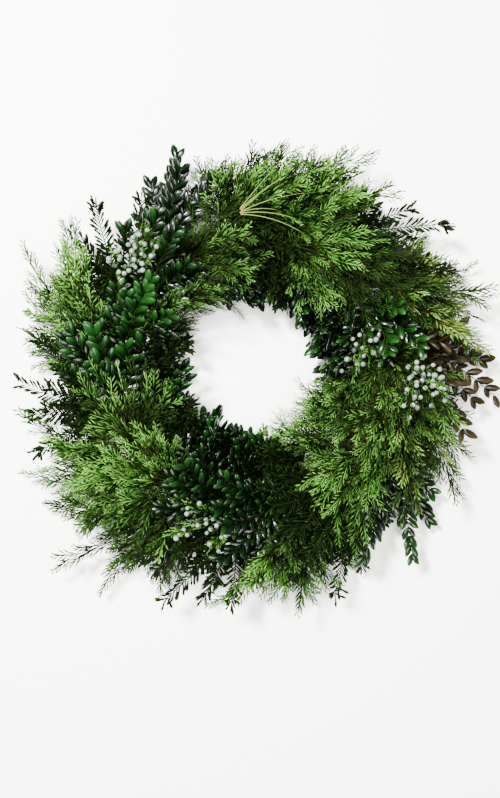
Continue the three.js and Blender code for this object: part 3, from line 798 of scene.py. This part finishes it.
def grain_group():
    """Fine grain as a mask, and a roughness that runs with it from Start to End."""
    group, given = new_group("fine grain", {"Vector": "Place", "Float": "Scale Detail Start End"},
                             {"Float": "Grain Roughness"})
    grain = noise(group, given["Place"], given["Scale"], given["Detail"])
    rough = ranged(group, grain, {"To Min": given["Start"], "To Max": given["End"]})
    node(group, "NodeGroupOutput", {"Grain": grain, "Roughness": rough})
    return group


def grained(tree, group, place, scale, detail, start=0.5, end=0.5):
    """The grain placed in a finish, and its roughness."""
    values = {"Place": place, "Scale": scale, "Detail": detail, "Start": start, "End": end}
    outputs = node(tree, "ShaderNodeGroup", values, node_tree=group).outputs
    return outputs["Grain"], outputs["Roughness"]


def new_finish(name):
    """A new material and its tree of nodes."""
    material = bpy.data.materials.new(name)
    material.use_nodes = True
    return material, material.node_tree


def finished(material, relief=None, **given):
    """The material with its shader's values given, and a relief by height, strength and depth in millimetres."""
    tree = material.node_tree
    inputs = {SHADER_INPUTS[key]: value for key, value in given.items()}
    if relief:
        height, strength, depth = relief
        bump = node(tree, "ShaderNodeBump", {"Height": height, "Strength": strength, "Distance": depth * MM})
        inputs["Normal"] = bump.outputs["Normal"]
    feed(tree, tree.nodes["Principled BSDF"], inputs)
    return material


def object_place(tree):
    return node(tree, "ShaderNodeTexCoord").outputs["Object"]


def layer(tree, name):
    """A layer of UV on the mesh."""
    return node(tree, "ShaderNodeUVMap", uv_map=name).outputs["UV"]


def attribute(tree, name):
    return node(tree, "ShaderNodeAttribute", attribute_name=name).outputs["Fac"]


def living_leaf(green, grain, name, roughness, gloss, midrib, *colours):
    """The finish of one plant's leaves; those with no midrib have rows of scales instead."""
    material, tree = new_finish(name)
    place = object_place(tree)
    across, along, _ = node(tree, "ShaderNodeSeparateXYZ", {"Vector": layer(tree, "growth")}).outputs
    given = {key: (*colour, 1) for key, colour in zip(("Deep", "Light", "Cool", "Russet", "Tip"), colours)}
    given.update({"Tone": attribute(tree, "tone"), "Warmth": attribute(tree, "warmth"), "Across": across,
                  "Growth": along, "Midrib": midrib, "Place": place})
    colour = node(tree, "ShaderNodeGroup", given, node_tree=green).outputs["Color"]
    height, rough = grained(tree, grain, place, 420.0, 2.0, roughness - 0.05, roughness + 0.08)
    if not midrib:
        rows = math_node(tree, "SINE", math_node(tree, "MULTIPLY", along, SCALE_ROWS))
        height = math_node(tree, "ADD", height, rows)
    return finished(material, (height, 0.3, 0.2), colour=colour, roughness=rough, gloss=gloss)


def bark_finish(grain):
    """Green-brown young bark."""
    material, tree = new_finish("young bark")
    mottle, _ = grained(tree, grain, object_place(tree), 260.0, 4.0)
    colour = mixed(tree, mottle, (0.001, 0.004, 0.0005, 1), (0.01, 0.012, 0.002, 1))
    return finished(material, (mottle, 0.4, 0.3), colour=colour, roughness=0.6, gloss=0.01)


def pale_stalk_finish(grain):
    """Pale yellow-green stalks, tan at the cut end."""
    material, tree = new_finish("pale stalk")
    _, along, _ = node(tree, "ShaderNodeSeparateXYZ", {"Vector": layer(tree, "growth")}).outputs
    mottle, _ = grained(tree, grain, object_place(tree), 300.0, 2.0)
    green = mixed(tree, mottle, (0.05, 0.1, 0.012, 1), (0.13, 0.19, 0.035, 1))
    from_cut = math_node(tree, "MULTIPLY", along, 14.0, clamp=True)
    colour = mixed(tree, from_cut, (0.2, 0.12, 0.05, 1), green)
    return finished(material, (mottle, 0.3, 0.3), colour=colour, roughness=0.5, gloss=0.1)


def berry_finish(grain):
    """Green berries under a pale blue-white bloom that is rubbed off in places."""
    material, tree = new_finish("berry bloom")
    rubbed, rough = grained(tree, grain, object_place(tree), 330.0, 2.0, 0.45, 0.75)
    under = mixed(tree, attribute(tree, "tone"), (0.025, 0.06, 0.02, 1), (0.05, 0.09, 0.06, 1))
    bloom = ranged(tree, rubbed, {"From Min": 0.34, "From Max": 0.5})
    return finished(material, colour=mixed(tree, bloom, under, (0.12, 0.165, 0.12, 1)), roughness=rough)


def straw_finish(grain):
    """Straw laid round the ring, its colour darkened as painted shade: long thin stalks in brown and dull gold."""
    material, tree = new_finish("straw in painted shade")
    stretched = {"Vector": layer(tree, "round"), "Scale": (26.0, 60.0, 1.0)}
    stretched = node(tree, "ShaderNodeMapping", stretched).outputs["Vector"]
    stalks, rough = grained(tree, grain, stretched, 1.0, 5.0, 0.85, 0.5)
    ramp = node(tree, "ShaderNodeValToRGB", {"Fac": stalks})
    brown, gold = ramp.color_ramp.elements
    # Painted shade: both straw colours are made dark, as the straw lies deep under the foliage.
    brown.position, brown.color = 0.32, (0.003, 0.0024, 0.0008, 1)
    gold.position, gold.color = 0.68, (0.02, 0.0145, 0.005, 1)
    return finished(material, (stalks, 0.9, 1.5), colour=ramp.outputs["Color"], roughness=rough, gloss=0.01)


def wire_finish(grain):
    """Thin green lacquer over iron wire, dulled in patches."""
    material, tree = new_finish("green lacquered wire")
    worn, rough = grained(tree, grain, object_place(tree), 150.0, 3.0, 0.3, 0.6)
    colour = mixed(tree, worn, (0.004, 0.014, 0.005, 1), (0.016, 0.03, 0.014, 1))
    return finished(material, colour=colour, roughness=rough, metallic=0.1, gloss=0.1)


def make_finishes(grain):
    """The finishes by kind of bunch, in the order of the piece's slots."""
    green, bark = green_group(), bark_finish(grain)
    finishes = {kind: {"bark": bark, "leaf": living_leaf(green, grain, *leaf)} for kind, leaf in LEAVES.items()}
    finishes["berries"] = {**finishes["juniper"], "berry": berry_finish(grain)}
    finishes["juniper"]["stalk"] = pale_stalk_finish(grain)
    return finishes


# ---- Straw ring and wire ----


def straw_ring(finish, centre):
    """The bound straw ring: an oval section with a flat back, dented where the wire crosses it."""
    ring = added("bound_straw", bpy.ops.mesh.primitive_torus_add, major_segments=384, minor_segments=32,
                 major_radius=RING_RADIUS * MM, minor_radius=STRAW_WIDTH / 2 * MM, generate_uvs=True,
                 location=(0, 0, 0))
    ring.data.uv_layers[0].name = "round"
    edit(ring)
    bpy.ops.transform.resize(value=(1, 1, STRAW_HEIGHT / STRAW_WIDTH), center_override=(0, 0, 0))
    bpy.ops.object.mode_set(mode="OBJECT")
    mesh = ring.data
    co = read(mesh.vertices, "co", 3) / MM
    clock = np.arctan2(co[:, 0], co[:, 1])
    out = np.hypot(co[:, 0], co[:, 1]) - RING_RADIUS
    height = co[:, 2]
    section = np.arctan2(height / STRAW_HEIGHT, out / STRAW_WIDTH)
    stalks = 0.5 * np.sin(section * 23 + 1.7 * np.sin(clock * 5)) + 0.4 * np.sin(section * 37 + clock * 9)
    bound = 0.9 * np.cos(clock * STATIONS * 2)
    shrink = 1 - (0.9 + stalks + bound * 0.6).clip(0, 3) / 25
    out, height = out * shrink, height * shrink
    z = np.maximum(height + STRAW_HEIGHT / 2, 0)
    z = np.where(z < 3.0, (z - 1.0).clip(0) * 1.5, z)
    spread = np.radians(STATION_ANGLE)
    station = np.round(clock / spread) * spread
    aside = (clock - station) * RING_RADIUS
    slant = spread * RING_RADIUS / 4 / STRAW_WIDTH
    dented = (np.abs(aside - slant * out) < GROOVE[1] / 2 + 0.6) & (np.abs(out) < GROOVE[0] / 2 + 2)
    z = np.where(dented & (z < GROOVE[2] - 0.6), GROOVE[2] - 0.6, z)
    co = round_ring(clock, RING_RADIUS + out, z) + centre
    mesh.vertices.foreach_set("co", (co * MM).astype(np.float32).ravel())
    mesh.update()
    bpy.ops.object.shade_smooth()
    mesh.materials.append(finish)
    return ring


def binding_wire(finish, centre):
    """The wire, wound once round straw and stems for each station."""
    turns = np.linspace(0.01, STATIONS - 0.01, 24 * STATIONS)
    section = 2 * math.pi * turns - math.pi / 2
    cos, sin = np.cos(section), np.sin(section)
    squared = [np.sign(share) * np.abs(share) ** WIRE_SQUARENESS for share in (cos, sin)]
    radius = RING_RADIUS + (STRAW_WIDTH / 2 + WIRE_LIFT) * squared[0]
    z = WIRE_SINK + (STRAW_HEIGHT + WIRE_LIFT - WIRE_SINK) / 2 * (1 + squared[1])
    clock = np.radians(STATION_ANGLE) * turns
    points = (round_ring(clock, radius, z) + centre) * MM
    curve = bpy.data.curves.new("wound_wire", "CURVE")
    curve.dimensions = "3D"
    curve.bevel_depth = WIRE_RADIUS * MM
    curve.bevel_resolution = 1
    curve.use_fill_caps = True
    line = curve.splines.new("POLY")
    line.points.add(len(points) - 1)
    line.points.foreach_set("co", np.c_[points, np.ones(len(points))].ravel())
    wire = linked("wound_wire", curve)
    bpy.ops.object.select_all(action="DESELECT")
    wire.select_set(True)
    bpy.context.view_layer.objects.active = wire
    bpy.ops.object.convert(target="MESH")
    wire = bpy.context.object
    edit(wire)
    bpy.ops.mesh.remove_doubles(threshold=0.01 * MM)
    bpy.ops.object.mode_set(mode="OBJECT")
    bpy.ops.object.shade_smooth()
    wire.data.materials.append(finish)
    return wire


def make_camera():
    """The camera looks straight down from above the near edge, as the photograph's does."""
    data = bpy.data.cameras.new("above")
    camera = linked("above", data)
    camera.location = (-0.012, -0.024, 0.92)
    camera.rotation_euler = (0, 0, 0)
    data.sensor_width = 36
    data.lens = data.sensor_width / (VIEW_HEIGHT / VIEW_DISTANCE)
    bpy.context.scene.camera = camera


def make_studio():
    """A plain pale floor and soft light from above and the left."""
    floor = added("floor", bpy.ops.mesh.primitive_plane_add, size=6, location=(0, 0, -0.0005))
    paint, _ = new_finish("pale floor")
    floor.data.materials.append(finished(paint, colour=(0.9, 0.9, 0.88, 1), roughness=0.8))
    floor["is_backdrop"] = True
    for name, place, size, power, colour in (
        ("window", (-0.9, 0.8, 1.9), 0.35, 440, (1, 0.99, 0.97)),
        ("ceiling", (0.3, -0.2, 2.2), 1.2, 150, (1, 0.98, 0.95)),
    ):
        data = bpy.data.lights.new(name, "AREA")
        data.size, data.energy, data.color = size, power, colour
        lamp = linked(name, data)
        lamp.location = place
        lamp.rotation_euler = (-Vector(place)).to_track_quat("-Z", "Y").to_euler()
    world = bpy.data.worlds.new("room")
    world.use_nodes = True
    feed(world.node_tree, world.node_tree.nodes["Background"], {"Color": (0.95, 0.98, 1, 1), "Strength": 0.28})
    bpy.context.scene.world = world


def grow_pale_stalks(foliage, shapes):
    """Bare pale stalks that fan out from one cut end, each with a light spray at its far end."""
    for i in range(7):
        stem = {"sprig": PaleStalk(i), "start": 0.0, "end": 0.92 + 0.08 * draw(i, 402)}
        foliage.stem(shapes["stem"], stem, 0.55, 0.3, "stalk")
        stem["start"] = 0.66 + 0.1 * draw(i, 404)
        grow_juniper(foliage, [*shapes["sprays"][3:], shapes["sprays"][3]], stem, 5.0, 0.65)


def make_bunch(name, plan, cad_node, shapes, finishes):
    """One bunch, berried twig or bronze sprig, grown on the stems of its node."""
    main, stems = stems_of(plan, cad_node)
    foliage = Foliage(plan)
    kind = plan["kind"]
    if kind == "berries":
        stems = berry_stems(plan, main, stems)
    else:
        more = OUTER_STEMS if plan["row"] == "outer" and kind != "boxwood" else 0
        stems = more_stems(plan, main, stems, LESSER_STEMS[kind] + more)
    for stem in stems:
        foliage.stem(shapes["stem"], stem, 1.3 if stem["start"] == 0 else 1.0, 0.5)
        if kind in ("juniper", "berries"):
            grow_juniper(foliage, shapes["sprays"], stem, SPRAY_SPACING[plan["row"]],
                         0.75 if kind == "berries" else 1.0)
        elif kind == "yew":
            grow_yew(foliage, shapes["needle"], stem, burst=8 if plan["row"] == "outer" else 5)
        else:
            grow_boxwood(foliage, shapes["leaf"], stem, 7.8 if kind == "boxwood" else 10.5)
    if plan["row"] == "top":
        tuft = {"sprig": stems[0]["sprig"], "start": 0.0, "end": 0.36, "bare": 0.0}
        if kind == "juniper":
            grow_juniper(foliage, shapes["sprays"], tuft, 2.2, 0.95, 70)
        elif kind == "yew":
            grow_yew(foliage, shapes["needle"], tuft, 0.7, 75)
        else:
            grow_boxwood(foliage, shapes["leaf"], tuft, 2.6, 68)
    if kind == "berries":
        grow_berries(foliage, shapes["fruit"], shapes["stalk"], stems, plan["berries"])
    if name == "juniper_top_01":
        grow_pale_stalks(foliage, shapes)
    piece = foliage.mesh(name + "_sprig", finishes[kind])
    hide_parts(name)
    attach(piece, "root")


def make_wreath(frame):
    low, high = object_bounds()
    Foliage.low = np.array(low) + np.array([MARGIN, MARGIN, FLOOR_MARGIN]) * MM
    Foliage.high = np.array(high) - MARGIN * MM
    ring_low, ring_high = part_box("straw_ring")
    Sprig.centre = np.array([(ring_low.x + ring_high.x) / 2, (ring_low.y + ring_high.y) / 2, 0]) / MM
    twiglet = juniper_twiglet()
    fruit, stalk = berry()
    shapes = {
        "stem": straight_stem(),
        "sprays": [juniper_spray(twiglet, 301 + i, stout) for i, stout in enumerate(STOUTNESS)],
        "needle": yew_needle(),
        "leaf": boxwood_leaf(),
        "fruit": fruit,
        "stalk": stalk,
    }
    grain = grain_group()
    finishes = make_finishes(grain)
    ring = straw_ring(straw_finish(grain), Sprig.centre)
    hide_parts("straw_ring")
    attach(ring, "root")
    wire = binding_wire(wire_finish(grain), Sprig.centre)
    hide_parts("binding_wire")
    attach(wire, "root")
    for name, plan in sorted(bunch_plans().items(), key=lambda item: item[1]["kind"] != "berries"):
        make_bunch(name, plan, frame["nodes"][name], shapes, finishes)


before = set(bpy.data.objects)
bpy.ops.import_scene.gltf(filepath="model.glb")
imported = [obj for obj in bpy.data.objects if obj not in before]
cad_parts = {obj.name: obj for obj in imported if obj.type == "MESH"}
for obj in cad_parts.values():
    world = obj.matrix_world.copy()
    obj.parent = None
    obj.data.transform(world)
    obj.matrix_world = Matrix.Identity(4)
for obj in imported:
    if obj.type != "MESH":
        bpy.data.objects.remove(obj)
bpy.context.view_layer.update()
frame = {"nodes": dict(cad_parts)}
make_camera()
make_studio()
make_wreath(frame)
